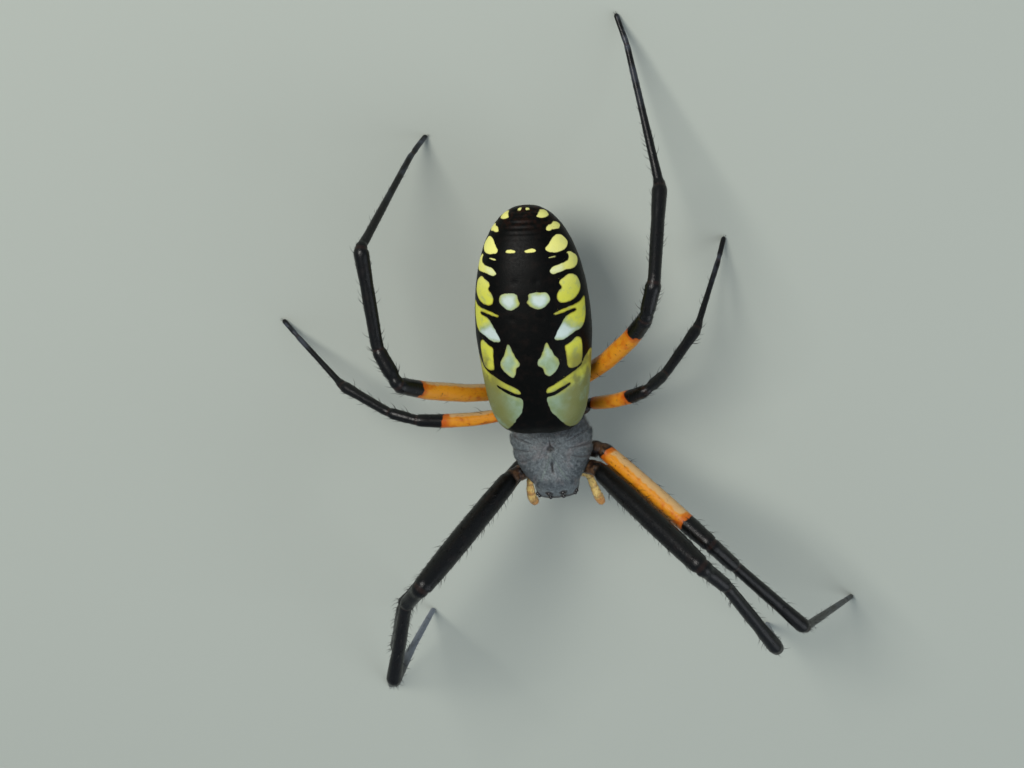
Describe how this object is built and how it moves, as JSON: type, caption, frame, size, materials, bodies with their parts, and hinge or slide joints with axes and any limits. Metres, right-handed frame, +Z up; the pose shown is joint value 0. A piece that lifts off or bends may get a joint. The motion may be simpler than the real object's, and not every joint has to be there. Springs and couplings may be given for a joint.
{
  "type": "yellow garden orb weaver spider",
  "caption": "Adult female orb weaver spider with a black and yellow abdomen, silver carapace and banded legs, standing still, life size.",
  "frame": {"origin": "on the floor, under the middle of the spider's bounding box", "axes": "+Z up, and the spider faces -Y, so that +X is its own left side"},
  "size_m": [0.0448, 0.0586, 0.0178],
  "materials": {
    "carapace_silver": "grey shell under fine silvery hairs",
    "abdomen_skin": "satin skin, black with yellow and pale patches",
    "leg_black": "glossy black with short dark hairs and spines",
    "leg_orange": "satin orange with a pale upper side and dark end",
    "joint_brown": "satin dark brown",
    "palp_amber": "translucent amber with fine hairs",
    "eye_black": "polished, near black",
    "fang_dark": "polished dark red-brown"
  },
  "bodies": {
    "root": {"cephalothorax": "carapace_silver", "eye_front_middle_left": "eye_black", "eye_rear_middle_left": "eye_black", "eye_front_side_left": "eye_black", "eye_rear_side_left": "eye_black", "eye_front_middle_right": "eye_black", "eye_rear_middle_right": "eye_black", "eye_front_side_right": "eye_black", "eye_rear_side_right": "eye_black", "chelicera_left": "palp_amber", "fang_left": "fang_dark", "pedipalp_left": "palp_amber", "chelicera_right": "palp_amber", "fang_right": "fang_dark", "pedipalp_right": "palp_amber", "abdomen": "abdomen_skin", "spinnerets": "joint_brown", "pedicel": "joint_brown", "leg_1_left_coxa": "joint_brown", "leg_1_left_femur": "leg_black", "leg_1_left_patella_tibia": "leg_black", "leg_1_left_metatarsus": "leg_black", "leg_1_left_tarsus": "leg_black", "leg_2_left_coxa": "joint_brown", "leg_2_left_femur": "leg_orange", "leg_2_left_patella_tibia": "leg_black", "leg_2_left_metatarsus": "leg_black", "leg_2_left_tarsus": "leg_black", "leg_3_left_coxa": "joint_brown", "leg_3_left_femur": "leg_orange", "leg_3_left_patella_tibia": "leg_black", "leg_3_left_metatarsus": "leg_black", "leg_3_left_tarsus": "leg_black", "leg_4_left_coxa": "joint_brown", "leg_4_left_femur": "leg_orange", "leg_4_left_patella_tibia": "leg_black", "leg_4_left_metatarsus": "leg_black", "leg_4_left_tarsus": "leg_black", "leg_1_right_coxa": "joint_brown", "leg_1_right_femur": "leg_black", "leg_1_right_patella_tibia": "leg_black", "leg_1_right_metatarsus": "leg_black", "leg_1_right_tarsus": "leg_black", "leg_2_right_coxa": "joint_brown", "leg_2_right_femur": "leg_orange", "leg_2_right_patella_tibia": "leg_black", "leg_2_right_metatarsus": "leg_black", "leg_2_right_tarsus": "leg_black", "leg_3_right_coxa": "joint_brown", "leg_3_right_femur": "leg_orange", "leg_3_right_patella_tibia": "leg_black", "leg_3_right_metatarsus": "leg_black", "leg_3_right_tarsus": "leg_black", "leg_4_right_coxa": "joint_brown", "leg_4_right_femur": "leg_orange", "leg_4_right_patella_tibia": "leg_black", "leg_4_right_metatarsus": "leg_black", "leg_4_right_tarsus": "leg_black"}
  },
  "joints": []
}
